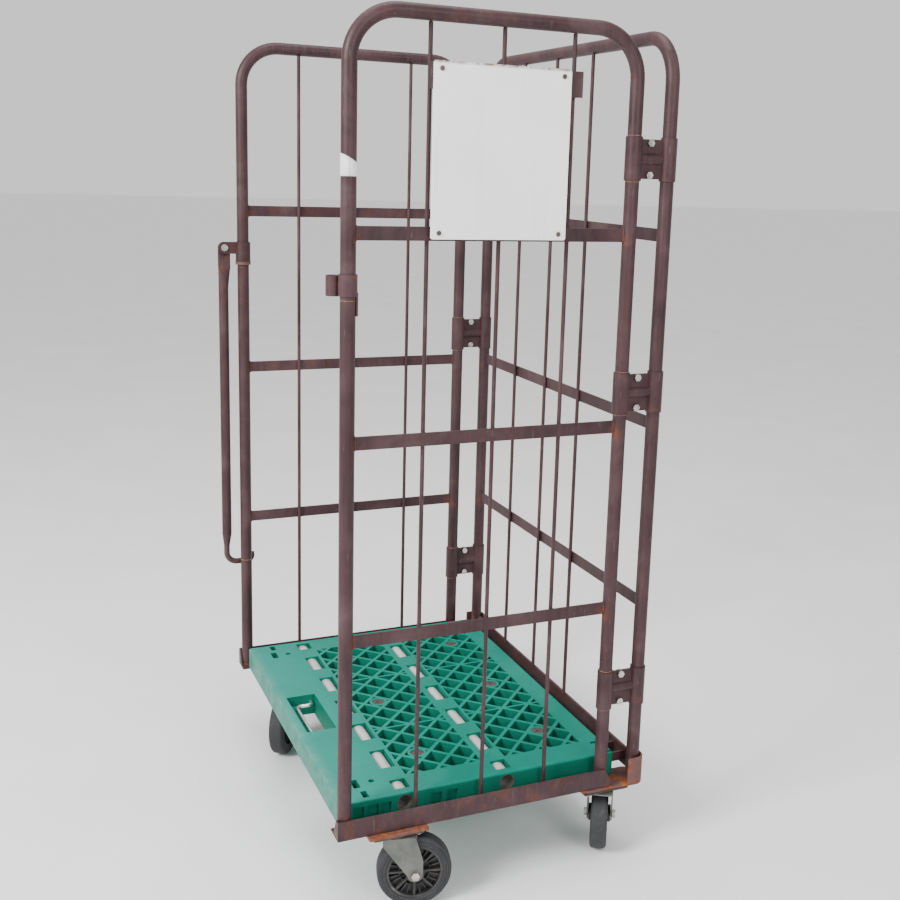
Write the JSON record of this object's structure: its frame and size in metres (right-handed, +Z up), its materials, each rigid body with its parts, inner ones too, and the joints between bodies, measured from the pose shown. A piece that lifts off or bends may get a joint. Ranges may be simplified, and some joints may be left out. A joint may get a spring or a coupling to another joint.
{
  "type": "roll cage container",
  "caption": "Tall open-front roll cage with hinged tube sides, a back frame, a lift-up moulded green deck, a swing latch bar and low swivel casters.",
  "frame": {"origin": "on the floor under the middle of the cage's outer box", "axes": "+Z up; -Y is the open front; +X is the side with the sign board"},
  "size_m": [0.9293, 0.714, 1.7],
  "materials": {
    "painted_frame": "worn mauve-brown enamel with rust at the welds",
    "painted_clamp": "worn mauve-brown enamel, rusty edges",
    "rusty_steel": "orange-brown surface rust over brown paint",
    "deck_plastic": "moulded green plastic, dusty along the front edge",
    "galvanised_steel": "bright galvanised",
    "zinc_pressing": "dull grey-green zinc",
    "zinc_fastener": "bright zinc",
    "screw_steel": "grey steel",
    "tyre_rubber": "scuffed black rubber",
    "hub_plastic": "black ribbed moulding",
    "sign_plastic": "plain white sheet"
  },
  "bodies": {
    "root": {"back_hoop": "painted_frame", "back_cross_rails": "painted_frame", "back_rods": "painted_frame", "back_base_rail": "painted_frame", "rear_corner_plates": "rusty_steel", "hinge_clamps_inner": "painted_clamp", "hinge_clamps_outer": "painted_clamp", "clamp_bolts": "zinc_fastener", "deck_hinge_brackets": "painted_frame", "caster_rear_right_top_plate": "zinc_pressing", "caster_rear_right_plate_bolts": "zinc_fastener", "caster_rear_right_kingpin": "zinc_fastener", "caster_rear_left_top_plate": "zinc_pressing", "caster_rear_left_plate_bolts": "zinc_fastener", "caster_rear_left_kingpin": "zinc_fastener"},
    "right_side": {"right_hoop": "painted_frame", "right_cross_rails": "painted_frame", "right_rods": "painted_frame", "right_base_rail": "painted_frame", "right_caster_pad": "rusty_steel", "sign_board": "sign_plastic", "sign_brackets": "painted_frame", "sign_screws": "screw_steel", "latch_socket": "painted_clamp", "caster_front_right_top_plate": "zinc_pressing", "caster_front_right_plate_bolts": "zinc_fastener", "caster_front_right_kingpin": "zinc_fastener"},
    "left_side": {"left_hoop": "painted_frame", "left_cross_rails": "painted_frame", "left_rods": "painted_frame", "left_base_rail": "painted_frame", "left_caster_arm": "rusty_steel", "latch_rest_ring": "rusty_steel", "caster_front_left_top_plate": "zinc_pressing", "caster_front_left_plate_bolts": "zinc_fastener", "caster_front_left_kingpin": "zinc_fastener"},
    "deck": {"deck_board": "deck_plastic", "deck_tubes": "galvanised_steel", "deck_screws": "screw_steel"},
    "handle": {"deck_handle": "galvanised_steel"},
    "latch_swivel": {"latch_collar": "painted_clamp", "latch_rivet": "zinc_fastener"},
    "latch": {"latch_bar": "painted_frame", "latch_hook": "painted_frame"},
    "caster_front_right_swivel": {"caster_front_right_fork": "zinc_pressing", "caster_front_right_axle": "zinc_fastener"},
    "caster_front_right_wheel": {"caster_front_right_hub": "hub_plastic", "caster_front_right_tyre": "tyre_rubber"},
    "caster_front_left_swivel": {"caster_front_left_fork": "zinc_pressing", "caster_front_left_axle": "zinc_fastener"},
    "caster_front_left_wheel": {"caster_front_left_hub": "hub_plastic", "caster_front_left_tyre": "tyre_rubber"},
    "caster_rear_right_swivel": {"caster_rear_right_fork": "zinc_pressing", "caster_rear_right_axle": "zinc_fastener"},
    "caster_rear_right_wheel": {"caster_rear_right_hub": "hub_plastic", "caster_rear_right_tyre": "tyre_rubber"},
    "caster_rear_left_swivel": {"caster_rear_left_fork": "zinc_pressing", "caster_rear_left_axle": "zinc_fastener"},
    "caster_rear_left_wheel": {"caster_rear_left_hub": "hub_plastic", "caster_rear_left_tyre": "tyre_rubber"}
  },
  "joints": [
    {"name": "right_side_swing", "type": "hinge", "parent": "root", "child": "right_side", "pos_m": [0.425, 0.26, 0.4], "axis": [0, 0, 1], "range_deg": [0, 90]},
    {"name": "left_side_swing", "type": "hinge", "parent": "root", "child": "left_side", "pos_m": [-0.425, 0.26, 0.4], "axis": [0, 0, 1], "range_deg": [-90, 0]},
    {"name": "deck_lift", "type": "hinge", "parent": "root", "child": "deck", "pos_m": [0, 0.29, 0.204], "axis": [-1, 0, 0], "range_deg": [0, 90]},
    {"name": "handle_lift", "type": "hinge", "parent": "deck", "child": "handle", "pos_m": [0, -0.223, 0.2003], "axis": [1, 0, 0], "range_deg": [-90, 0]},
    {"name": "latch_turn", "type": "hinge", "parent": "left_side", "child": "latch_swivel", "pos_m": [-0.425, -0.298, 1.216], "axis": [0, 0, 1], "range_deg": [-90, 90]},
    {"name": "latch_raise", "type": "hinge", "parent": "latch_swivel", "child": "latch", "pos_m": [-0.425, -0.342, 1.225], "axis": [1, 0, 0], "range_deg": [-90, 0]},
    {"name": "caster_front_right_swivel_turn", "type": "hinge", "parent": "right_side", "child": "caster_front_right_swivel", "pos_m": [0.427, -0.195, 0.15], "axis": [0, 0, 1], "continuous": true},
    {"name": "caster_front_right_wheel_spin", "type": "hinge", "parent": "caster_front_right_swivel", "child": "caster_front_right_wheel", "pos_m": [0.43619, -0.15813, 0.074], "axis": [-0.9703, 0.2419, 0], "continuous": true},
    {"name": "caster_front_left_swivel_turn", "type": "hinge", "parent": "left_side", "child": "caster_front_left_swivel", "pos_m": [-0.29, -0.224, 0.15], "axis": [0, 0, 1], "continuous": true},
    {"name": "caster_front_left_wheel_spin", "type": "hinge", "parent": "caster_front_left_swivel", "child": "caster_front_left_wheel", "pos_m": [-0.25777, -0.24414, 0.074], "axis": [0.5299, 0.848, 0], "continuous": true},
    {"name": "caster_rear_right_swivel_turn", "type": "hinge", "parent": "root", "child": "caster_rear_right_swivel", "pos_m": [0.421, 0.266, 0.15], "axis": [0, 0, 1], "continuous": true},
    {"name": "caster_rear_right_wheel_spin", "type": "hinge", "parent": "caster_rear_right_swivel", "child": "caster_rear_right_wheel", "pos_m": [0.38843, 0.28557, 0.074], "axis": [-0.515, -0.8572, 0], "continuous": true},
    {"name": "caster_rear_left_swivel_turn", "type": "hinge", "parent": "root", "child": "caster_rear_left_swivel", "pos_m": [-0.421, 0.266, 0.15], "axis": [0, 0, 1], "continuous": true},
    {"name": "caster_rear_left_wheel_spin", "type": "hinge", "parent": "caster_rear_left_swivel", "child": "caster_rear_left_wheel", "pos_m": [-0.38987, 0.2878, 0.074], "axis": [-0.5736, 0.8192, 0], "continuous": true}
  ]
}
